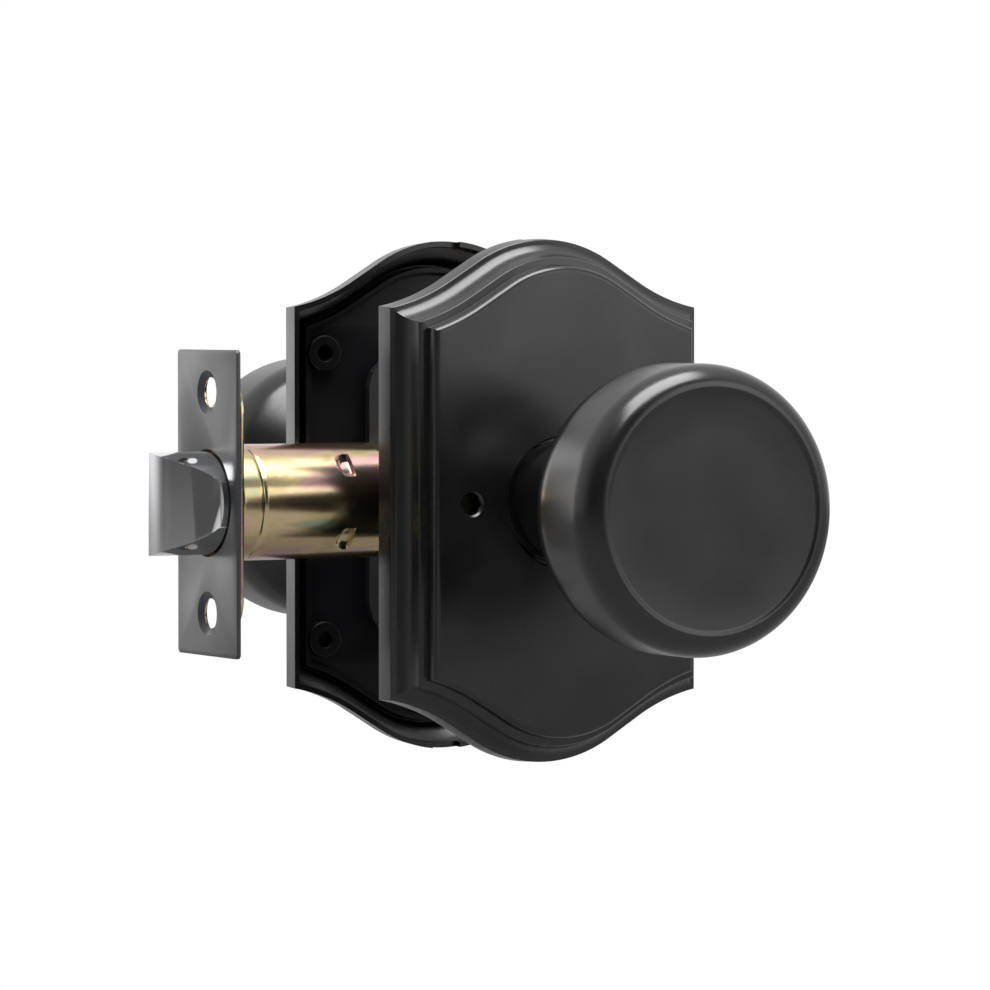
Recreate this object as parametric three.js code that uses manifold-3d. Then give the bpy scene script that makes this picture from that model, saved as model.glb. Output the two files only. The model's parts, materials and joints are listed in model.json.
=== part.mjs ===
// Tubular privacy door knob set: two round knobs on arched backplates, joined through the door by a
// square spindle, and a spring latch with its faceplate. Millimetres, +Z up. The origin is on the knob
// axis in the middle of the door. -Y is the outside of the door, -X points to the door's edge.
import * as THREE from "three";
import { mergeVertices } from "three/addons/utils/BufferGeometryUtils.js";
import Module from "manifold-3d";

const wasm = await Module();
wasm.setup();

// ---- driving dimensions ----
const DOOR_THICKNESS = 35;
const BACKSET = 60; // knob axis to the front of the latch faceplate
const THROW = 12.7; // how far the bolt stands out
const KNOB_RADIUS = 26.4;
const KNOB_PROJECTION = 66.3; // door face to the knob's front
const NECK_RADIUS = 11.3;
const PLATE_HALF_WIDTH = 33;
const PLATE_HALF_HEIGHT = 49.45;
const PLATE_DEPTH = 12.5;
const SHELL = 1; // wall of the backplates
const PRIVACY_X = -20; // privacy button and release hole
const SCREW_Z = 20; // through-door screws, above and below the spindle
const TUBE_RADIUS = 10.9;
const TUBE_WALL = 0.9;
const BOLT_RADIUS = 9.65;
const SPINDLE_SIDE = 7.9;
const GAP = 0.3; // running gap between neighbours
const TOUCH = 0.1; // gap left where two pieces bear on each other

const DOOR_FACE = DOOR_THICKNESS / 2;
const OUTSIDE = -1;
const INSIDE = 1;
const rad = THREE.MathUtils.degToRad;

// ---- materials ----
const material = (color, roughness, metalness) =>
  new THREE.MeshStandardMaterial({ color, roughness, metalness });
const MATT_BLACK = material(0x2a2a2b, 0.42, 0.5);
const BLACK_PLASTIC = material(0x101113, 0.55, 0);
const BLACK_PLATE = material(0x4a4d50, 0.4, 0.7);
const CHROME = material(0xd8dadc, 0.12, 1);
const YELLOW_ZINC = material(0xc9a868, 0.28, 1);
const STEEL = material(0x9a9c9e, 0.35, 1);
const NYLON = material(0xd9d6cc, 0.6, 0);

// ---- solids ----
// A three.js geometry as a manifold-3d solid, with its faces turned outwards.
function solid(geometry) {
  const bare = new THREE.BufferGeometry().setAttribute(
    "position",
    (geometry.index ? geometry.toNonIndexed() : geometry).getAttribute("position"),
  );
  const merged = mergeVertices(bare, 1e-4);
  const index = merged.index.array;
  const triangles = [];
  for (let i = 0; i < index.length; i += 3) {
    const [a, b, c] = index.slice(i, i + 3);
    if (a !== b && b !== c && a !== c) triangles.push(a, b, c);
  }
  const vertProperties = merged.attributes.position.array;
  const build = (triVerts) =>
    new wasm.Manifold(new wasm.Mesh({ numProp: 3, vertProperties, triVerts }));
  const made = build(new Uint32Array(triangles));
  if (made.volume() > 0) return made;
  for (let i = 0; i < triangles.length; i += 3) {
    [triangles[i + 1], triangles[i + 2]] = [triangles[i + 2], triangles[i + 1]];
  }
  return build(new Uint32Array(triangles));
}

const root = new THREE.Group();

function add(name, shape, look) {
  const { vertProperties, triVerts, numProp } = shape.getMesh();
  const positions = new Float32Array((vertProperties.length / numProp) * 3);
  for (let i = 0; i < positions.length / 3; i++) {
    positions.set(vertProperties.subarray(i * numProp, i * numProp + 3), i * 3);
  }
  const geometry = new THREE.BufferGeometry()
    .setAttribute("position", new THREE.BufferAttribute(positions, 3))
    .setIndex(new THREE.BufferAttribute(triVerts, 1));
  geometry.computeVertexNormals();
  const mesh = new THREE.Mesh(geometry, look);
  mesh.name = name;
  root.add(mesh);
}

// Boxes and cylinders between stated ends.
function box(x, y, z) {
  const geometry = new THREE.BoxGeometry(x[1] - x[0], y[1] - y[0], z[1] - z[0]);
  return solid(geometry.translate((x[0] + x[1]) / 2, (y[0] + y[1]) / 2, (z[0] + z[1]) / 2));
}

function cylinder(radius, length, sides, endRadius = radius) {
  return new THREE.CylinderGeometry(endRadius, radius, length, sides);
}

// Along X, from x[0] to x[1]; endRadius is the radius at x[1].
function rodX(radius, x, y = 0, z = 0, sides = 24, endRadius = radius) {
  const geometry = cylinder(radius, x[1] - x[0], sides, endRadius).rotateZ(-Math.PI / 2);
  return solid(geometry.translate((x[0] + x[1]) / 2, y, z));
}

// Along Y, between two places in any order.
function rodY(radius, ends, x = 0, z = 0, sides = 16) {
  const [from, to] = [Math.min(...ends), Math.max(...ends)];
  return solid(cylinder(radius, to - from, sides).translate(x, (from + to) / 2, z));
}

function rodZ(radius, z, x, y, sides = 12) {
  const geometry = cylinder(radius, z[1] - z[0], sides).rotateX(Math.PI / 2);
  return solid(geometry.translate(x, y, (z[0] + z[1]) / 2));
}

// A turned piece about Y from [radius, y] pairs that start and end on the axis or close on themselves.
function turned(profile, sides = 32) {
  const points = profile.map(([r, y]) => new THREE.Vector2(r, y));
  return solid(new THREE.LatheGeometry(points, sides));
}

// A flat outline in XZ, extruded between two Y places.
function plateY(outline, ends) {
  const [from, to] = [Math.min(...ends), Math.max(...ends)];
  const shape = new THREE.Shape(outline.map(([x, z]) => new THREE.Vector2(x, z)));
  const geometry = new THREE.ExtrudeGeometry(shape, { depth: to - from, bevelEnabled: false });
  return solid(geometry.rotateX(Math.PI / 2).translate(0, to, 0));
}

// A rounded rectangle in YZ, extruded along X.
function plateX(halfY, halfZ, corner, x) {
  const shape = new THREE.Shape();
  for (const [sy, sz, start] of [[1, -1, -90], [1, 1, 0], [-1, 1, 90], [-1, -1, 180]]) {
    const [cy, cz] = [sy * (halfY - corner), sz * (halfZ - corner)];
    shape.absarc(cy, cz, corner, rad(start), rad(start + 90), false);
  }
  shape.closePath();
  const flat = { depth: x[1] - x[0], bevelEnabled: false, curveSegments: 5 };
  const geometry = new THREE.ExtrudeGeometry(shape, flat);
  return solid(geometry.rotateZ(Math.PI / 2).rotateY(Math.PI / 2).translate(x[0], 0, 0));
}

// A coil of round wire about the Y axis, starting at y.
function coil(radius, wire, turns, pitch, y, stepsPerTurn = 12) {
  const points = [];
  const steps = Math.round(turns * stepsPerTurn);
  for (let i = 0; i <= steps; i++) {
    const turn = (i / stepsPerTurn) * 2 * Math.PI;
    const along = y + (i / stepsPerTurn) * pitch;
    points.push(new THREE.Vector3(radius * Math.cos(turn), along, radius * Math.sin(turn)));
  }
  const section = new THREE.Shape().absarc(0, 0, wire, 0, 2 * Math.PI, false);
  return new THREE.ExtrudeGeometry(section, {
    steps,
    curveSegments: 3,
    bevelEnabled: false,
    extrudePath: new THREE.CatmullRomCurve3(points),
  });
}

// ---- arched backplate outline ----
const CROWN_RADIUS = 27;
const CROWN_ANGLE = rad(31.7); // slope where the crown runs into the straight
const STRAIGHT = 7.41;
const SWEEP_RADIUS = 37; // the hollow sweep that ends at the corner

// The outline's quarter from the crown to the corner, pulled in by inset, then mirrored round.
function backplateOutline(inset) {
  const crownZ = PLATE_HALF_HEIGHT - CROWN_RADIUS;
  const [s, c] = [Math.sin(CROWN_ANGLE), Math.cos(CROWN_ANGLE)];
  const sweepX = CROWN_RADIUS * s + STRAIGHT * c + SWEEP_RADIUS * s;
  const sweepZ = crownZ + CROWN_RADIUS * c - STRAIGHT * s + SWEEP_RADIUS * c;
  const quarter = [];
  const crownSteps = 4;
  for (let i = 0; i <= crownSteps; i++) {
    const angle = (CROWN_ANGLE * i) / crownSteps;
    const reach = CROWN_RADIUS - inset;
    quarter.push([reach * Math.sin(angle), crownZ + reach * Math.cos(angle)]);
  }
  const reach = SWEEP_RADIUS + inset;
  const last = Math.asin((sweepX - (PLATE_HALF_WIDTH - inset)) / reach);
  const sweepSteps = 3;
  for (let i = 0; i <= sweepSteps; i++) {
    const angle = CROWN_ANGLE + ((last - CROWN_ANGLE) * i) / sweepSteps;
    quarter.push([sweepX - reach * Math.sin(angle), sweepZ - reach * Math.cos(angle)]);
  }
  const lower = quarter.map(([x, z]) => [x, -z]).reverse();
  const right = [...quarter, ...lower];
  const left = right.slice(1, -1).map(([x, z]) => [-x, z]).reverse();
  return [...right, ...left];
}

// [inset, height] of the moulded edge: plain band, hollow cove, ledge, and the bevel up to the face.
function mouldedEdge() {
  const [coveIn, coveUp, bandTop, draft] = [3.35, 5.1, 4.3, 0.25];
  const steps = 4;
  const edge = [[0, 0]];
  for (let i = 0; i <= steps; i++) {
    const angle = ((Math.PI / 2) * i) / steps;
    const across = draft + coveIn * Math.sin(angle);
    edge.push([across, bandTop + coveUp * (1 - Math.cos(angle))]);
  }
  return [...edge, [5.1, 9.5], [5.3, 11.9], [6.1, PLATE_DEPTH]];
}

// Rings of the outline stacked up the edge profile, closed at both ends.
function stack(edge, side) {
  const rings = edge.map(([inset, up]) =>
    backplateOutline(inset).map(([x, z]) => [x, side * (DOOR_FACE + up), z]),
  );
  const positions = [];
  const count = rings[0].length;
  for (let k = 0; k + 1 < rings.length; k++) {
    for (let i = 0; i < count; i++) {
      const j = (i + 1) % count;
      const [a, b, c, d] = [rings[k][i], rings[k][j], rings[k + 1][j], rings[k + 1][i]];
      positions.push(...a, ...b, ...c, ...a, ...c, ...d);
    }
  }
  const caps = [[rings[0], true], [rings[rings.length - 1], false]];
  for (const [ring, flipped] of caps) {
    const flat = ring.map(([x, , z]) => new THREE.Vector2(x, z));
    const turn = THREE.ShapeUtils.isClockWise(flat) ? 1 : -1;
    for (const face of THREE.ShapeUtils.triangulateShape(flat, [])) {
      const order = flipped === turn > 0 ? face : [...face].reverse();
      positions.push(...order.flatMap((i) => ring[i]));
    }
  }
  const geometry = new THREE.BufferGeometry();
  return solid(geometry.setAttribute("position", new THREE.Float32BufferAttribute(positions, 3)));
}

function backplate(side) {
  const outer = mouldedEdge();
  const inner = outer.map(([inset, up]) => [inset + SHELL, Math.max(up - SHELL, -1)]);
  const y = (up) => side * (DOOR_FACE + up);
  const [bore, releaseHole, buttonHole, notchHalf, notchDepth] = [12.2, 2.1, 3.3, 3, 1.6];
  const hole = side === OUTSIDE ? releaseHole : buttonHole;
  const notch = plateY(
    [
      [-notchHalf, -PLATE_HALF_HEIGHT - 1],
      [notchHalf, -PLATE_HALF_HEIGHT - 1],
      [notchHalf, PLATE_HALF_HEIGHT + 1],
      [-notchHalf, PLATE_HALF_HEIGHT + 1],
    ],
    [y(-1), y(notchDepth)],
  );
  return stack(outer, side)
    .subtract(stack(inner, side))
    .subtract(rodY(bore, [y(0), y(PLATE_DEPTH + 1)], 0, 0, 32))
    .subtract(rodY(hole, [y(0), y(PLATE_DEPTH + 1)], PRIVACY_X, 0))
    .subtract(notch);
}

// The plastic liner that stiffens a backplate, with four round bosses towards the door.
const LINER = [6.6, 8.2];
const BOSS_X = 24.2;
const BOSS_Z = 27.7;

function liner(side) {
  const y = (up) => side * (DOOR_FACE + up);
  const [bore, screwHole, bossRadius, bossFoot, edgeInset] = [15, 4.4, 3.5, 4.4, 5];
  const rodHole = side === OUTSIDE ? 2.2 : 4.5;
  let made = plateY(backplateOutline(edgeInset), [y(LINER[0]), y(LINER[1])]);
  for (const sx of [-1, 1]) {
    for (const sz of [-1, 1]) {
      made = made.add(rodY(bossRadius, [y(bossFoot), y(LINER[1])], sx * BOSS_X, sz * BOSS_Z, 20));
    }
  }
  for (const sz of [-1, 1]) {
    made = made.subtract(rodY(screwHole, [y(0), y(PLATE_DEPTH)], 0, sz * SCREW_Z));
  }
  return made
    .subtract(rodY(bore, [y(0), y(PLATE_DEPTH)]))
    .subtract(rodY(rodHole, [y(0), y(PLATE_DEPTH)], PRIVACY_X, 0));
}

// The steel bridge that the knob turns in, screwed to its partner through the door.
const BRIDGE = [4.6, 6.4];
const BUSH_RADIUS = 12.4;

function bridge(side) {
  const y = (up) => side * (DOOR_FACE + up);
  const [halfWidth, halfHeight, corner, screwHole] = [14.5, 27, 6, 2.1];
  const shape = [];
  for (const [sx, sz, start] of [[1, -1, -90], [1, 1, 0], [-1, 1, 90], [-1, -1, 180]]) {
    for (let turn = start; turn <= start + 90; turn += 30) {
      const x = sx * (halfWidth - corner) + corner * Math.cos(rad(turn));
      shape.push([x, sz * (halfHeight - corner) + corner * Math.sin(rad(turn))]);
    }
  }
  let made = plateY(shape, [y(BRIDGE[0]), y(BRIDGE[1])]);
  for (const sz of [-1, 1]) {
    made = made.subtract(rodY(screwHole, [y(0), y(PLATE_DEPTH)], 0, sz * SCREW_Z, 16));
  }
  return made.subtract(rodY(BUSH_RADIUS, [y(0), y(PLATE_DEPTH)], 0, 0, 32));
}

// A flat ring about the knob axis.
function ring(side, inner, outer, up) {
  const y = (at) => side * (DOOR_FACE + at);
  return turned([
    [inner, y(up[0])],
    [outer, y(up[0])],
    [outer, y(up[1])],
    [inner, y(up[1])],
    [inner, y(up[0])],
  ]);
}

// ---- knob ----
const NECK_START = 2.8;
const NECK_BORE = 9.5;
const HUB = [20, 34];
const GRUB_UP = 27; // height of the interior knob's grub screw and the exterior one's cross pin
const GRUB_RADIUS = 2;

function knobShell(side) {
  const y = (up) => side * (DOOR_FACE + up);
  const roundStart = KNOB_PROJECTION - 5.3;
  const faceRadius = 22.5;
  const outer = [
    [NECK_RADIUS, NECK_START],
    [NECK_RADIUS, 14],
    [10.4, 20],
    [10.3, 27],
    [12, 34.5],
    [15.5, 39],
    [21, 42.6],
    [24.6, 45.2],
    [26.1, 48.4],
    [KNOB_RADIUS, 51],
  ];
  const steps = 4;
  for (let i = 0; i <= steps; i++) {
    const angle = ((Math.PI / 2) * i) / steps;
    outer.push([
      faceRadius + (KNOB_RADIUS - faceRadius) * Math.cos(angle),
      roundStart + (KNOB_PROJECTION - roundStart) * Math.sin(angle),
    ]);
  }
  const inner = [
    [22, 64],
    [24.2, 61],
    [24.2, 49],
    [18.6, 43.6],
    [NECK_BORE - 1.2, 36],
    [NECK_BORE - 1.2, HUB[1] + 0.6],
    [NECK_BORE, HUB[1] + 0.6],
    [NECK_BORE, NECK_START],
  ];
  const profile = [[0, KNOB_PROJECTION], [0, 64], ...inner, ...outer, [0, KNOB_PROJECTION]];
  const closed = [...profile.slice(1, -1), profile[0]].map(([r, up]) => [r, y(up)]);
  const shell = turned(closed);
  if (side === OUTSIDE) return shell;
  return shell.subtract(rodZ(GRUB_RADIUS + GAP, [-14, 0], 0, y(GRUB_UP)));
}

function knobHub(side) {
  const y = (up) => side * (DOOR_FACE + up);
  const square = SPINDLE_SIDE / 2 + 0.15;
  const made = rodY(NECK_BORE - 0.15, [y(HUB[0]), y(HUB[1])], 0, 0, 32);
  const bored = made.subtract(box([-square, square], [-60, 60], [-square, square]));
  const crossing = side === OUTSIDE ? [-12, 12] : [-12, 0];
  return bored.subtract(rodZ(GRUB_RADIUS + GAP, crossing, 0, y(GRUB_UP)));
}

// ---- build both sides ----
for (const side of [OUTSIDE, INSIDE]) {
  const where = side === OUTSIDE ? "exterior" : "interior";
  add(`${where}_backplate`, backplate(side), MATT_BLACK);
  add(`${where}_liner`, liner(side), BLACK_PLASTIC);
  add(`${where}_bridge`, bridge(side), STEEL);
  add(`${where}_bush`, ring(side, NECK_RADIUS + GAP / 2, BUSH_RADIUS - GAP / 2, [4.6, 9]), NYLON);
  add(`${where}_retaining_ring`, ring(side, NECK_RADIUS + 0.05, 13.2, [3.2, 4.2]), STEEL);
  add(`${where}_knob`, knobShell(side), MATT_BLACK);
  add(`${where}_knob_hub`, knobHub(side), STEEL);
  const spring = coil(13.6, 0.45, 2, side * 1.1, side * (DOOR_FACE + 7.2));
  add(`${where}_return_spring`, solid(spring), STEEL);
}

// ---- spindle and its fixings ----
const half = SPINDLE_SIDE / 2;
const HUB_MIDDLE = DOOR_FACE + GRUB_UP;
add(
  "spindle",
  box([-half, half], [-DOOR_FACE - 33, DOOR_FACE + 32], [-half, half]).subtract(
    rodZ(GRUB_RADIUS + GAP, [-8, 8], 0, -HUB_MIDDLE),
  ),
  STEEL,
);
add("spindle_cross_pin", rodZ(GRUB_RADIUS, [-9.2, 9.2], 0, -HUB_MIDDLE), STEEL);
add("knob_grub_screw", rodZ(GRUB_RADIUS, [-10.2, -half - TOUCH], 0, HUB_MIDDLE), STEEL);

// ---- through-door screws ----
const POST_RADIUS = 3.6;
const SCREW_RADIUS = 1.65;
for (const [name, sz] of [["upper", 1], ["lower", -1]]) {
  const z = sz * SCREW_Z;
  const post = rodY(POST_RADIUS, [-DOOR_FACE - BRIDGE[0] + TOUCH, -2], 0, z, 20);
  add(`threaded_post_${name}`, post.subtract(rodY(SCREW_RADIUS + 0.2, [-18, 0], 0, z, 16)), STEEL);
  const headBase = DOOR_FACE + BRIDGE[1] + TOUCH;
  const screw = rodY(SCREW_RADIUS, [-12, headBase + 1], 0, z, 16)
    .add(rodY(3.6, [headBase, headBase + 2.2], 0, z, 20))
    .subtract(box([-4, 4], [headBase + 1.2, headBase + 3], [z - 0.5, z + 0.5]));
  add(`mounting_screw_${name}`, screw, STEEL);
}

// ---- privacy button ----
{
  const y = (up) => DOOR_FACE + up;
  const tip = PLATE_DEPTH + 6.5;
  const button = turned([
    [0, y(9.4)],
    [4.2, y(9.4)],
    [4.2, y(11)],
    [2.95, y(11)],
    [2.95, y(tip - 1)],
    [2.1, y(tip - 0.25)],
    [0, y(tip)],
  ], 24);
  add("privacy_button", button.translate([PRIVACY_X, 0, 0]), MATT_BLACK);
  add("privacy_rod", rodY(1.4, [-DOOR_FACE - 6, y(9.4) - TOUCH], PRIVACY_X, 0, 16), STEEL);
}

// ---- latch ----
const FACE_X = -BACKSET;
const FACEPLATE_BACK = FACE_X + 0.85;
const BACKING = [FACEPLATE_BACK + 0.05, FACE_X + 2.1];
const CASE_FRONT = FACE_X + 33;
const SEAT_BACK = FACE_X + 26.6; // fixed end of the bolt spring
const CASE_BACK = 14;
const CASE_HALF_Y = 7.4;
const HOLE_Z = 41.275 / 2; // faceplate screws, 1 5/8 inch apart
const BOLT_HOLE = 10.05;

function faceplate(halfY, halfZ, corner, x, holes) {
  let made = plateX(halfY, halfZ, corner, x).subtract(rodX(BOLT_HOLE, [x[0] - 1, x[1] + 1], 0, 0, 32));
  const length = x[1] - x[0];
  const slope = (holes[1] - holes[0]) / length;
  for (const sz of [-1, 1]) {
    const cut = rodX(holes[0] - slope, [x[0] - 1, x[1] + 1], 0, sz * HOLE_Z, 24, holes[1] + slope);
    made = made.subtract(cut);
  }
  return made;
}

add(
  "latch_faceplate",
  faceplate(12.7, 57.15 / 2, 1.6, [FACE_X, FACEPLATE_BACK], [4.1, 2.8]),
  BLACK_PLATE,
);
add("latch_backing_plate", faceplate(12.4, 24.8, 8, BACKING, [2.6, 2.6]), YELLOW_ZINC);

// Front tube, with four punched dimples that hold the spring seat.
{
  const x = [BACKING[1] + TOUCH, CASE_FRONT - TOUCH];
  const dimpleX = SEAT_BACK - 1.8;
  let tube = rodX(TUBE_RADIUS, x, 0, 0, 32).subtract(
    rodX(TUBE_RADIUS - TUBE_WALL, [x[0] - 1, x[1] + 1], 0, 0, 32),
  );
  for (const angle of [40.6, 139.4, 220.6, 319.4]) {
    const [cy, cz] = [-Math.cos(rad(angle)), Math.sin(rad(angle))];
    const reach = TUBE_RADIUS + 0.9;
    const ball = new THREE.SphereGeometry(1.5, 8, 6).translate(dimpleX, reach * cy, reach * cz);
    tube = tube.subtract(solid(ball));
  }
  add("latch_tube", tube, YELLOW_ZINC);
}

// Rear case in two halves, flat where the cam turns.
{
  const outside = rodX(TUBE_RADIUS, [CASE_FRONT, CASE_BACK]);
  const inside = rodX(TUBE_RADIUS - 0.8, [CASE_FRONT - 1, CASE_BACK - 0.8]);
  const [slab, cavity] = [CASE_HALF_Y, CASE_HALF_Y - 0.8];
  const shell = outside
    .intersect(box([-80, 80], [-slab, slab], [-20, 20]))
    .subtract(inside.intersect(box([-80, 80], [-cavity, cavity], [-20, 20])))
    .subtract(rodY(7.2, [-10, 10], 0, 0, 32))
    .subtract(rodY(2, [-10, 10], PRIVACY_X, 0));
  for (const side of [OUTSIDE, INSIDE]) {
    const name = side === OUTSIDE ? "exterior" : "interior";
    const y = side === OUTSIDE ? [-20, -TOUCH / 2] : [TOUCH / 2, 20];
    add(`latch_case_${name}_half`, shell.intersect(box([-80, 80], y, [-20, 20])), YELLOW_ZINC);
  }
}

// Bolt head: a round bar, flat on the inside of the door, with a rounded nose and a slope on the outside.
{
  const tip = FACE_X - THROW;
  const rear = FACE_X + 9.5;
  const [flatY, noseY, slopeX, slopeY] = [6.2, 1, FACE_X - 9.5, -5.2];
  const outline = [[rear, flatY], [tip, flatY], [tip, noseY]];
  const nose = new THREE.QuadraticBezierCurve(
    new THREE.Vector2(tip, noseY),
    new THREE.Vector2(tip, -3.9),
    new THREE.Vector2(slopeX, slopeY),
  );
  outline.push(...nose.getPoints(6).slice(1).map((p) => [p.x, p.y]));
  outline.push([FACE_X - 1.4, -8.7], [FACE_X - 0.6, -12], [rear, -12]);
  const shape = new THREE.Shape(outline.map(([x, y]) => new THREE.Vector2(x, y)));
  const prism = new THREE.ExtrudeGeometry(shape, { depth: 24, bevelEnabled: false });
  const bolt = rodX(BOLT_RADIUS, [tip, rear], 0, 0, 32).intersect(solid(prism.translate(0, 0, -12)));
  add("latch_bolt", bolt, CHROME);
}

// Retractor: the bolt's stem, forked round the privacy rod, and two rails with a hook above and below.
{
  const stem = box([FACE_X + 9.6, -28], [-1.8, 1.8], [-4, 4]);
  const rails = box([-31.5, -2.6], [-3.3, 3.3], [-9, 9])
    .subtract(box([-27.9, 0], [-2.1, 2.1], [-10, 10]))
    .subtract(box([-20.6, 0], [-5, 5], [-7.4, 7.4]));
  const hooks = box([-4.8, -2.6], [-3.3, 3.3], [-9, 9]).subtract(
    box([-6, 0], [-5, 5], [-8, 8]),
  );
  const rodSlot = box([-34.8, -18], [-5, 5], [-2, 2]);
  add("bolt_retractor", stem.add(rails).subtract(rodSlot).add(hooks), YELLOW_ZINC);
}

// Spring seat at the dimples, and the bolt spring between it and the bolt head.
{
  const seat = [SEAT_BACK - 1.2, SEAT_BACK];
  add(
    "bolt_spring_seat",
    rodX(9.7, seat).subtract(box([-60, 0], [-2.2, 2.2], [-4.4, 4.4])),
    STEEL,
  );
  const front = FACE_X + 10.4;
  const turns = 3;
  const length = seat[0] - 0.8 - front;
  const spring = coil(7.2, 0.4, turns, length / turns, 0, 12).rotateZ(-Math.PI / 2);
  add("bolt_spring", solid(spring.translate(front, 0, 0)), STEEL);
}

// Cam on the spindle: journals in the case walls and two fingers that drive the hooks.
{
  const square = half + 0.15;
  let cam = rodY(6.9, [-7.8, 7.8], 0, 0, 32);
  for (const sz of [-1, 1]) {
    const lean = rad(40);
    const finger = new THREE.Shape([
      new THREE.Vector2(-1.5, 4),
      new THREE.Vector2(1.5, 4),
      new THREE.Vector2(0.8, 8.3),
      new THREE.Vector2(0.4, 9.9),
      new THREE.Vector2(-0.4, 9.9),
      new THREE.Vector2(-0.8, 8.3),
    ]);
    const flat = new THREE.ExtrudeGeometry(finger, { depth: 3.6, bevelEnabled: false });
    flat.rotateX(Math.PI / 2).translate(0, 1.8, 0).rotateY(-lean);
    if (sz < 0) flat.scale(1, 1, -1);
    cam = cam.add(solid(flat));
  }
  add("latch_cam", cam.subtract(box([-square, square], [-20, 20], [-square, square])), STEEL);
}

export default root;
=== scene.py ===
"""Looks for the privacy door knob set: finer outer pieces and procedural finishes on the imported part."""

import json
import math

import bmesh
import bpy
from mathutils import Matrix, Vector


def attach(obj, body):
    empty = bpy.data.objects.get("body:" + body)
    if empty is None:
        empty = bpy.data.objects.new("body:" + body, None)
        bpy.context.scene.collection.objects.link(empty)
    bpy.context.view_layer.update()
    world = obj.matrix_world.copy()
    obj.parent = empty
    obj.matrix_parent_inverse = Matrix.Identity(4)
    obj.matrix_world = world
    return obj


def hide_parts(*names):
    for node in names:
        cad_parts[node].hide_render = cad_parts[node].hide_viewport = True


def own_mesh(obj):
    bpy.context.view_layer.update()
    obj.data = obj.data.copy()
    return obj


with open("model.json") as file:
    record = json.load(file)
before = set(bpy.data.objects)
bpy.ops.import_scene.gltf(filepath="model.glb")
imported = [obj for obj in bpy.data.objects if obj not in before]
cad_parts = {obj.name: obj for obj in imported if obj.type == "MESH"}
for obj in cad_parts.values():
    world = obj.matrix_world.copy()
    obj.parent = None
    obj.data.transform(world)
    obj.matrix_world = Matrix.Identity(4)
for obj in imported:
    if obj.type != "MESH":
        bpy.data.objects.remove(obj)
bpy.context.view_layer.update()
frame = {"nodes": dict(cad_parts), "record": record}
MM = 0.001
WALL = 17.5  # door mid-plane to either face
OUTSIDE, INSIDE = -1, 1



def linked(name, data):
    """A new object in the scene that shows the data."""
    made = bpy.data.objects.new(name, data)
    bpy.context.scene.collection.objects.link(made)
    return made


# ---- camera ----
DISTANCE = 1.0303
SHIFT_RIGHT, SHIFT_UP = 0.00106, 0.00052
AZIMUTH, ELEVATION = math.radians(-28.66), math.radians(1.91)
BACK = Vector((
    math.sin(AZIMUTH) * math.cos(ELEVATION),
    -math.cos(AZIMUTH) * math.cos(ELEVATION),
    math.sin(ELEVATION),
))
RIGHT = Vector((math.cos(AZIMUTH), math.sin(AZIMUTH), 0))
UP = BACK.cross(RIGHT)
lens = bpy.data.cameras.new("camera")
lens.sensor_width = 36
lens.lens = 195.3
camera = linked("camera", lens)
camera_place = Matrix.Translation(BACK * DISTANCE + RIGHT * SHIFT_RIGHT + UP * SHIFT_UP)
camera.matrix_world = camera_place @ Matrix((RIGHT, UP, BACK)).transposed().to_4x4()
bpy.context.scene.camera = camera
bpy.context.scene.view_settings.view_transform = "Standard"


# ---- finishes ----
def finish_material(name, tones, rough, metallic, patch=60.0, grain=2500.0, relief=0.00001,
                    stretch=(1, 1, 1), sheen=0.5):
    """Colour and gloss wander with a broad noise; relief varies with a finer one."""
    made = bpy.data.materials.new(name)
    made.use_nodes = True
    nodes, links = made.node_tree.nodes, made.node_tree.links
    shader = nodes["Principled BSDF"]
    place = nodes.new("ShaderNodeTexCoord")
    spread = nodes.new("ShaderNodeMapping")
    spread.inputs["Scale"].default_value = stretch
    links.new(place.outputs["Object"], spread.inputs["Vector"])
    broad = nodes.new("ShaderNodeTexNoise")
    broad.inputs["Scale"].default_value = patch
    broad.inputs["Detail"].default_value = 4
    broad.inputs["Distortion"].default_value = 0.6
    links.new(spread.outputs["Vector"], broad.inputs["Vector"])
    ramp = nodes.new("ShaderNodeValToRGB")
    for i, tone in enumerate(tones):
        at = 0.3 + 0.4 * i / max(1, len(tones) - 1)
        stop = ramp.color_ramp.elements[i] if i < 2 else ramp.color_ramp.elements.new(at)
        stop.position = at
        stop.color = (*tone, 1)
    links.new(broad.outputs["Fac"], ramp.inputs["Fac"])
    links.new(ramp.outputs["Color"], shader.inputs["Base Color"])
    fine = nodes.new("ShaderNodeTexNoise")
    fine.inputs["Scale"].default_value = grain
    fine.inputs["Detail"].default_value = 3
    links.new(spread.outputs["Vector"], fine.inputs["Vector"])
    gloss = nodes.new("ShaderNodeMapRange")
    gloss.inputs["From Min"].default_value = 0.3
    gloss.inputs["From Max"].default_value = 0.7
    gloss.inputs["To Min"].default_value = rough * 0.85
    gloss.inputs["To Max"].default_value = rough * 1.2
    links.new(broad.outputs["Fac"], gloss.inputs["Value"])
    links.new(gloss.outputs["Result"], shader.inputs["Roughness"])
    bump = nodes.new("ShaderNodeBump")
    bump.inputs["Strength"].default_value = 0.5
    bump.inputs["Distance"].default_value = relief
    links.new(fine.outputs["Fac"], bump.inputs["Height"])
    links.new(bump.outputs["Normal"], shader.inputs["Normal"])
    shader.inputs["Metallic"].default_value = metallic
    shader.inputs["Specular IOR Level"].default_value = sheen
    return made


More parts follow.
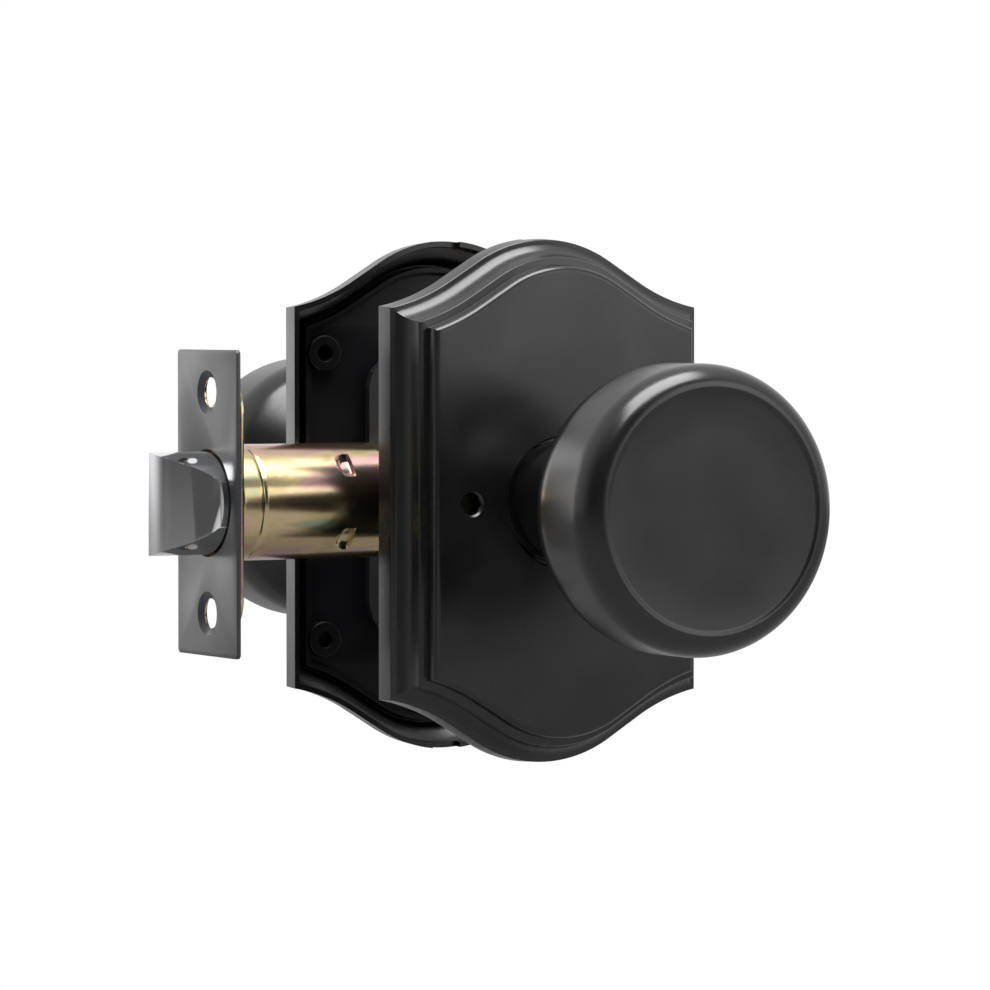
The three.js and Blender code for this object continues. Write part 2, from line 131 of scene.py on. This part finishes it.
FINISH = {
    "matt_black": finish_material(
        "satin black", [(0.003, 0.003, 0.0033), (0.005, 0.005, 0.0053)], 0.27, 0.0),
    "black_plate": finish_material(
        "black plating", [(0.016, 0.017, 0.019), (0.024, 0.025, 0.027)], 0.33, 0.0, sheen=0.62),
    "black_plastic": finish_material(
        "black moulding", [(0.001, 0.0013, 0.002), (0.002, 0.0026, 0.004)], 0.42, 0.0,
        relief=0.00002, sheen=0.2),
    "chrome": finish_material(
        "polished chrome", [(0.80, 0.81, 0.83), (0.88, 0.88, 0.89)], 0.09, 1.0, relief=0.000001),
    "yellow_zinc": finish_material(
        "yellow zinc",
        [(0.25, 0.30, 0.20), (0.42, 0.34, 0.18), (0.55, 0.43, 0.25), (0.50, 0.30, 0.29), (0.28, 0.27, 0.22)],
        0.19, 1.0, patch=130.0, relief=0.000004, stretch=(0.35, 1, 1)),
    "steel": finish_material(
        "zinc plate", [(0.52, 0.53, 0.55), (0.64, 0.64, 0.65)], 0.32, 1.0),
    "nylon": finish_material(
        "nylon", [(0.70, 0.69, 0.64), (0.76, 0.75, 0.71)], 0.5, 0.0, relief=0.00002),
}
KNOB_BLACK = finish_material(
    "satin black turned", [(0.004, 0.004, 0.0045), (0.005, 0.005, 0.0053)], 0.25, 0.0, relief=0.000008)


# ---- mesh tools; sizes in millimetres ----
def cleaned(mesh):
    """The mesh with doubled vertices merged and its faces turned outwards."""
    shaped = bmesh.new()
    shaped.from_mesh(mesh)
    bmesh.ops.remove_doubles(shaped, verts=shaped.verts, dist=1e-7)
    bmesh.ops.recalc_face_normals(shaped, faces=shaped.faces)
    shaped.to_mesh(mesh)
    shaped.free()
    return mesh


def settle(name, mesh, slot, sharp=28):
    """A mesh in metres becomes a shown object with its finish and smooth shading up to the sharp angle."""
    cleaned(mesh)
    mesh.shade_smooth()
    mesh.set_sharp_from_angle(angle=math.radians(sharp))
    mesh.materials.clear()
    mesh.materials.append(FINISH[slot])
    return linked(name, mesh)


def raw(points, faces):
    mesh = bpy.data.meshes.new("shape")
    mesh.from_pydata([tuple(c * MM for c in p) for p in points], [], faces)
    return mesh


def swept(rings, closed=False, caps=True):
    """Skin over rings of equal length; caps close the two ends, or closed joins the last to the first."""
    count = len(rings[0])
    faces = []
    for k in range(len(rings) if closed else len(rings) - 1):
        for i in range(count):
            j, n = (i + 1) % count, (k + 1) % len(rings)
            faces.append((k * count + i, k * count + j, n * count + j, n * count + i))
    if caps and not closed:
        faces.append(tuple(range(count)))
        faces.append(tuple(range((len(rings) - 1) * count, len(rings) * count)))
    return raw([p for ring in rings for p in ring], faces)


def turned(profile, steps=128, x=0.0, closed=False, about="Y", y=0.0, z=0.0):
    """A turned skin of (radius, place) pairs about a line along Y at (x, z), or along X at (y, z)."""
    rings = []
    for r, at in profile:
        r = max(r, 0.0005)
        turn = [(math.cos(2 * math.pi * i / steps) * r, math.sin(2 * math.pi * i / steps) * r)
                for i in range(steps)]
        rings.append([(x + c, at, z + s) if about == "Y" else (at, y + c, z + s) for c, s in turn])
    return swept(rings, closed)


def rounded(corner_list, steps=5):
    """A profile whose (r, at, radius) corners are rounded with quadratic curves."""
    made = []
    for i, (r, at, radius) in enumerate(corner_list):
        if not radius or i in (0, len(corner_list) - 1):
            made.append((r, at))
            continue
        here = Vector((r, at))
        before, after = Vector(corner_list[i - 1][:2]), Vector(corner_list[i + 1][:2])
        start = here + (before - here).normalized() * radius
        end = here + (after - here).normalized() * radius
        for k in range(steps + 1):
            t = k / steps
            made.append(tuple((1 - t) ** 2 * start + 2 * t * (1 - t) * here + t * t * end))
    return made


def baked(mesh, *modifiers):
    """The mesh after (type, settings) modifiers."""
    held = linked("held", mesh)
    for kind, settings in modifiers:
        added = held.modifiers.new(kind, kind)
        for key, value in settings.items():
            setattr(added, key, value)
    bpy.context.view_layer.update()
    seen = held.evaluated_get(bpy.context.evaluated_depsgraph_get())
    made = bpy.data.meshes.new_from_object(seen)
    bpy.data.objects.remove(held)
    return made


def carved(mesh, cutters, operation="DIFFERENCE"):
    """The mesh with each cutter mesh taken away, or kept in common."""
    tools = [linked("tool", cleaned(cutter)) for cutter in cutters]
    steps = [("BOOLEAN", {"operation": operation, "object": tool, "solver": "EXACT"}) for tool in tools]
    made = baked(cleaned(mesh), *steps)
    for tool in tools:
        bpy.data.objects.remove(tool)
    return made


def circle(radius, x=0.0, z=0.0, steps=64):
    turns = [2 * math.pi * i / steps for i in range(steps)]
    return [(x + radius * math.cos(turn), z + radius * math.sin(turn)) for turn in turns]


def rounded_rectangle(half_a, half_b, corner, steps=10):
    made = []
    for sa, sb, start in ((1, -1, -90), (1, 1, 0), (-1, 1, 90), (-1, -1, 180)):
        for k in range(steps + 1):
            turn = math.radians(start + 90 * k / steps)
            made.append((sa * (half_a - corner) + corner * math.cos(turn),
                         sb * (half_b - corner) + corner * math.sin(turn)))
    return made


def plate(loops, low, high, edge, across):
    """A flat plate with eased edges from closed loops. across is X for loops in (y, z), or Y for (x, z)."""
    curve = bpy.data.curves.new("plate", "CURVE")
    curve.dimensions = "2D"
    curve.fill_mode = "BOTH"
    for loop in loops:
        line = curve.splines.new("POLY")
        line.points.add(len(loop) - 1)
        for point, (a, b) in zip(line.points, loop):
            point.co = (a * MM, b * MM, 0, 1)
        line.use_cyclic_u = True
    curve.extrude = ((high - low) / 2 - edge) * MM
    curve.bevel_depth = edge * MM
    curve.bevel_resolution = 2
    curve.offset = -edge * MM
    held = linked("plate", curve)
    bpy.context.view_layer.update()
    made = bpy.data.meshes.new_from_object(held.evaluated_get(bpy.context.evaluated_depsgraph_get()))
    bpy.data.objects.remove(held)
    middle = (low + high) / 2 * MM
    if across == "X":
        made.transform(Matrix(((0, 0, 1, middle), (1, 0, 0, 0), (0, 1, 0, 0), (0, 0, 0, 1))))
    else:
        made.transform(Matrix(((1, 0, 0, 0), (0, 0, 1, middle), (0, 1, 0, 0), (0, 0, 0, 1))))
    return made


def place(piece, body, slot, *nodes):
    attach(piece, body)
    if nodes:
        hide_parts(*nodes)
    return piece


# ---- arched backplates ----
PLATE_DEPTH = 12.5
PLATE_HALF_WIDTH, PLATE_HALF_HEIGHT = 33.0, 49.45
CROWN_RADIUS, SWEEP_RADIUS = 27.0, 37.0
PRIVACY_X = -20


def arch(inset, crown_steps=20, sweep_steps=16):
    """The backplate's outline in (x, z), pulled in by inset: a crown arc, a straight and a hollow sweep."""
    angle, straight = math.radians(31.7), 7.41
    top = PLATE_HALF_HEIGHT - CROWN_RADIUS
    s, c = math.sin(angle), math.cos(angle)
    sweep_x = CROWN_RADIUS * s + straight * c + SWEEP_RADIUS * s
    sweep_z = top + CROWN_RADIUS * c - straight * s + SWEEP_RADIUS * c
    quarter = []
    for i in range(crown_steps + 1):
        turn = angle * i / crown_steps
        reach = CROWN_RADIUS - inset
        quarter.append((reach * math.sin(turn), top + reach * math.cos(turn)))
    reach = SWEEP_RADIUS + inset
    last = math.asin((sweep_x - (PLATE_HALF_WIDTH - inset)) / reach)
    for i in range(sweep_steps + 1):
        turn = angle + (last - angle) * i / sweep_steps
        quarter.append((sweep_x - reach * math.sin(turn), sweep_z - reach * math.cos(turn)))
    right = quarter + [(x, -z) for x, z in reversed(quarter)]
    return right + [(-x, z) for x, z in reversed(right[1:-1])]


def backplate(side):
    """Hollow plate with a band, cove, ledge and bevel, its neck and privacy holes, and notches in its rim."""
    outer = [(0.0, 0.0), (0.22, 3.95), (0.27, 4.17), (0.4, 4.28), (0.62, 4.34)]
    for i in range(1, 13):
        turn = math.radians(8 + 80 * i / 12)
        outer.append((0.25 + 3.3 * math.sin(turn), 4.3 + 5.05 * (1 - math.cos(turn))))
    outer += [(3.62, 9.32), (3.72, 9.45), (3.9, 9.5), (4.95, 9.5), (5.1, 9.56), (5.16, 9.75)]
    outer += [(5.22, 11.3), (5.3, 11.75), (5.5, 12.12), (5.8, 12.38), (6.15, 12.48), (6.5, 12.5)]
    inner = [(7.4, 11.5), (6.3, 10.9), (6.1, 8.5), (4.65, 8.35), (4.2, 6.2), (3.0, 4.4), (1.3, 3.3), (1.0, 0.0)]
    rings = [[(x, side * (WALL + up), z) for x, z in arch(inset)] for inset, up in inner + outer]
    hole = 2.1 if side == OUTSIDE else 3.3

    def drill(radius, x, chamfer=0.4):
        wide = radius + chamfer
        shape = [(0, -1), (radius, -1), (radius, PLATE_DEPTH - chamfer), (wide, PLATE_DEPTH + 0.02),
                 (wide, PLATE_DEPTH + 2), (0, PLATE_DEPTH + 2)]
        return turned([(r, side * (WALL + up)) for r, up in shape], 96, x)

    corners = ((-3, -51), (3, -51), (3, 51), (-3, 51))
    notch = [[(x, side * (WALL + up), z) for x, z in corners] for up in (-1, 1.6)]
    return carved(swept(rings), [drill(12.2, 0), drill(hole, PRIVACY_X, 0.35), swept(notch)])


def liner(side, name):
    """Moulded liner: its plate, a lip round the edge and four hollow bosses."""
    low, high = sorted((side * (WALL + 6.6), side * (WALL + 8.2)))
    rod = 2.2 if side == OUTSIDE else 4.5
    holes = [circle(15), circle(4.4, 0, 20), circle(4.4, 0, -20), circle(rod, PRIVACY_X, 0)]
    base = settle(f"{name}_liner_plate", plate([arch(5), *holes], low, high, 0.15, "Y"), "black_plastic")
    place(base, "mounting", "black_plastic", f"{name}_liner")
    low, high = sorted((side * (WALL + 5.2), side * (WALL + 6.58)))
    lip = settle(f"{name}_liner_lip", plate([arch(5), arch(6.3)], low, high, 0.2, "Y"), "black_plastic")
    place(lip, "mounting", "black_plastic")
    shape = rounded([(1.6, 6.55, 0), (1.6, 4.4, 0.2), (3.5, 4.4, 0.4), (3.5, 6.55, 0)])
    for i, (x, z) in enumerate(((-24.2, 27.7), (-24.2, -27.7), (24.2, 27.7), (24.2, -27.7))):
        ring = turned([(r, side * (WALL + up)) for r, up in shape], 48, x, closed=True, z=z)
        boss = settle(f"{name}_liner_boss_{i}", ring, "black_plastic")
        place(boss, "mounting", "black_plastic")


def knob(side):
    """Drum knob on a slim neck, hollow behind its front."""
    steps = rounded([
        (9.6, 2.8, 0), (11.3, 2.8, 0.3), (11.3, 14, 1), (10.4, 20, 3), (10.3, 27, 3), (12, 34.5, 3),
        (15.5, 39, 2), (21, 42.6, 1.5), (24.6, 45.2, 1.6), (26.4, 49.6, 2.2), (26.4, 60.8, 0),
    ])
    for i in range(1, 13):
        turn = math.radians(90 * i / 12)
        steps.append((22.4 + 4.0 * math.cos(turn), 60.8 + 5.5 * math.sin(turn)))
    steps += [(22.1, 66.3), (21.85, 66.24), (21.6, 66.12), (21.2, 66.08), (14, 66.08), (7, 66.08), (0, 66.08)]
    steps += [(0, 64), (22, 64), (24.2, 61), (24.2, 49), (18.6, 43.6), (9.6, 36)]
    return turned([(r, side * (WALL + up)) for r, up in steps], 160, closed=True)


for side, name in ((OUTSIDE, "exterior"), (INSIDE, "interior")):
    place(settle(f"{name}_backplate_shell", backplate(side), "matt_black"),
          "mounting", "matt_black", f"{name}_backplate")
    liner(side, name)
    body = settle(f"{name}_knob_body", knob(side), "matt_black")
    body.data.materials[0] = KNOB_BLACK
    place(body, f"{name}_knob", "matt_black", f"{name}_knob")

button = rounded([
    (0, 26.9, 0), (4.2, 26.9, 0.2), (4.2, 28.5, 0.2), (2.95, 28.5, 0.1), (2.95, 36.5, 0.9), (0, 36.5, 0),
])
place(settle("privacy_button_cap", turned(button, 64, PRIVACY_X), "matt_black"),
      "privacy_pin", "matt_black", "privacy_button")

# ---- latch ----
FACE = -60.0
SCREW_Z = 41.275 / 2
TUBE_RADIUS, TUBE_BORE = 10.9, 9.95
BOLT_RADIUS, THROW = 9.65, 12.7


def faceplate():
    flat = plate([rounded_rectangle(12.7, 28.575, 0.9), circle(10.05, steps=96)], FACE, FACE + 0.85, 0.12, "X")
    cuts = []
    for z in (-SCREW_Z, SCREW_Z):
        shape = [(0, FACE - 1), (5.63, FACE - 1), (4.1, FACE), (2.8, FACE + 0.85),
                 (1.27, FACE + 1.85), (0, FACE + 1.85)]
        cuts.append(turned(shape, 64, about="X", z=z))
    return carved(flat, cuts)


def backing():
    holes = [circle(10.05, steps=96), circle(3.5, 0, SCREW_Z), circle(3.5, 0, -SCREW_Z)]
    return plate([rounded_rectangle(12.4, 24.8, 8), *holes], FACE + 0.9, FACE + 1.7, 0.15, "X")


def tube():
    """Drawn tube with a rolled crease behind the plate and four punched dimples."""
    front, back, around, dimple = FACE + 2.2, FACE + 32.9, 176, 2.6
    places = [front + (back - front) * i / 130 for i in range(131)]
    rings = []
    for at in places:
        ring = []
        for i in range(around):
            turn = 2 * math.pi * i / around
            radius = TUBE_RADIUS - 0.16 * math.exp(-((at - FACE - 6.8) / 0.28) ** 2)
            if at - front < 0.3:
                radius -= 0.12 * (1 - (at - front) / 0.3)
            for centre in (40.6, 139.4, 220.6, 319.4):
                apart = turn - math.radians(centre + 180)
                away = math.atan2(math.sin(apart), math.cos(apart))
                across, along = away * TUBE_RADIUS / dimple, (at - (FACE + 25.6)) / dimple
                reach = across * across + along * along
                if reach < 1 and along < 0.25:
                    radius -= 1.15 * (1 - reach) ** 0.5
            ring.append((at, radius * math.cos(turn), radius * math.sin(turn)))
        rings.append(ring)
    for at in (back, (front + back) / 2, front):
        rings.append([(at, y, z) for y, z in circle(TUBE_BORE, steps=around)])
    return swept(rings, closed=True)


def bolt():
    """Round bar with a rounded nose, a slope on the outside and a flat on the inside of the door."""
    tip, rear = FACE - THROW, FACE + 9.5
    outline = [(rear, 6.2), (tip, 6.2), (tip, 1.0)]
    for i in range(1, 25):
        t = i / 24
        outline.append(tuple((1 - t) ** 2 * a + 2 * t * (1 - t) * b + t * t * c
                             for a, b, c in ((tip, tip, FACE - 9.5), (1.0, -3.9, -5.2))))
    outline += [(FACE - 1.4, -8.7), (FACE - 0.6, -12), (rear, -12)]
    prism = swept([[(x, y, z) for x, y in outline] for z in (-12, 12)])
    bar = turned([(0, tip), (BOLT_RADIUS, tip), (BOLT_RADIUS, rear), (0, rear)], 128, about="X")
    shaped = carved(bar, [prism], "INTERSECT")
    shaped.shade_smooth()
    return baked(shaped, ("BEVEL", {"width": 0.35 * MM, "segments": 3, "limit_method": "ANGLE",
                                    "angle_limit": math.radians(35), "harden_normals": True}))


def spring():
    """The bolt spring, as a round wire swept along its coil."""
    turns, mean, wire, steps = 3, 7.2, 0.4, 48
    front, length = FACE + 10.4, 14.2
    rings = []
    for k in range(turns * steps + 1):
        turn = 2 * math.pi * k / steps
        middle = Vector((front + length * k / (turns * steps), mean * math.cos(turn), -mean * math.sin(turn)))
        out = Vector((0, math.cos(turn), -math.sin(turn)))
        rings.append([tuple(middle + wire * (math.cos(a) * out + math.sin(a) * Vector((1, 0, 0))))
                      for a in (2 * math.pi * i / 12 for i in range(12))])
    return swept(rings)


place(settle("faceplate", faceplate(), "black_plate"), "mounting", "black_plate", "latch_faceplate")
place(settle("backing_plate", backing(), "yellow_zinc"), "mounting", "yellow_zinc", "latch_backing_plate")
place(settle("tube", tube(), "yellow_zinc", 40), "mounting", "yellow_zinc", "latch_tube")
coil = place(settle("coil", spring(), "steel", 60), "mounting", "steel", "bolt_spring")
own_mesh(coil)
head = bolt()
head.materials.clear()
head.materials.append(FINISH["chrome"])
place(linked("bolt_head", head), "bolt", "chrome", "latch_bolt")

# ---- what stays as packed takes the same finishes ----
for entry in frame["record"]["subparts"]:
    kept = frame["nodes"][entry["node"]]
    kept.data.materials.clear()
    kept.data.materials.append(FINISH[entry["material_slot"]])


# ---- studio: white all round but for a dark patch at the camera; softboxes above, behind and in front ----
def softbox(name, at, towards, side, watts):
    light = bpy.data.lights.new(name, "AREA")
    light.shape = "SQUARE"
    light.size = side
    light.energy = watts
    made = linked(name, light)
    made.location = at
    made.rotation_euler = (Vector(towards) - Vector(at)).to_track_quat("-Z", "Y").to_euler()


softbox("top softbox", (0.0, -0.3, 0.95), (0, 0, 0), 0.8, 24)
softbox("left softbox", (-0.62, 1.12, 0.1), (0, 0, 0), 0.9, 3)
softbox("front softbox", (0.85, -1.4, 0.42), (0, 0, 0), 0.8, 4)

world = bpy.data.worlds.new("studio")
world.use_nodes = True
nodes, links = world.node_tree.nodes, world.node_tree.links
heading = nodes.new("ShaderNodeTexCoord")
facing = nodes.new("ShaderNodeVectorMath")
facing.operation = "DOT_PRODUCT"
facing.inputs[1].default_value = BACK
links.new(heading.outputs["Generated"], facing.inputs[0])
shade = nodes.new("ShaderNodeMapRange")
shade.interpolation_type = "SMOOTHSTEP"
for key, value in (("From Min", 0.0), ("From Max", 0.9), ("To Min", 1.0), ("To Max", 0.08)):
    shade.inputs[key].default_value = value
links.new(facing.outputs["Value"], shade.inputs["Value"])
links.new(shade.outputs["Result"], nodes["Background"].inputs["Color"])
bpy.context.scene.world = world

FLOOR_Z, FLOOR_HALF = -115, 3000
floor_mesh = raw([(a * FLOOR_HALF, b * FLOOR_HALF, FLOOR_Z) for a, b in ((-1, -1), (1, -1), (1, 1), (-1, 1))],
                 [(0, 1, 2, 3)])
floor_finish = finish_material(
    "pale floor", [(0.20, 0.20, 0.20), (0.24, 0.24, 0.24)], 0.7, 0.0, patch=2.0, grain=50.0)
# It looks white from the camera but throws back little light, as a white sweep far below would.
parts, joins = floor_finish.node_tree.nodes, floor_finish.node_tree.links
path = parts.new("ShaderNodeLightPath")
glow = parts.new("ShaderNodeEmission")
blend = parts.new("ShaderNodeMixShader")
joins.new(path.outputs["Is Camera Ray"], blend.inputs["Fac"])
joins.new(parts["Principled BSDF"].outputs["BSDF"], blend.inputs[1])
joins.new(glow.outputs["Emission"], blend.inputs[2])
joins.new(blend.outputs["Shader"], parts["Material Output"].inputs["Surface"])
floor_mesh.materials.append(floor_finish)
floor = linked("floor", floor_mesh)
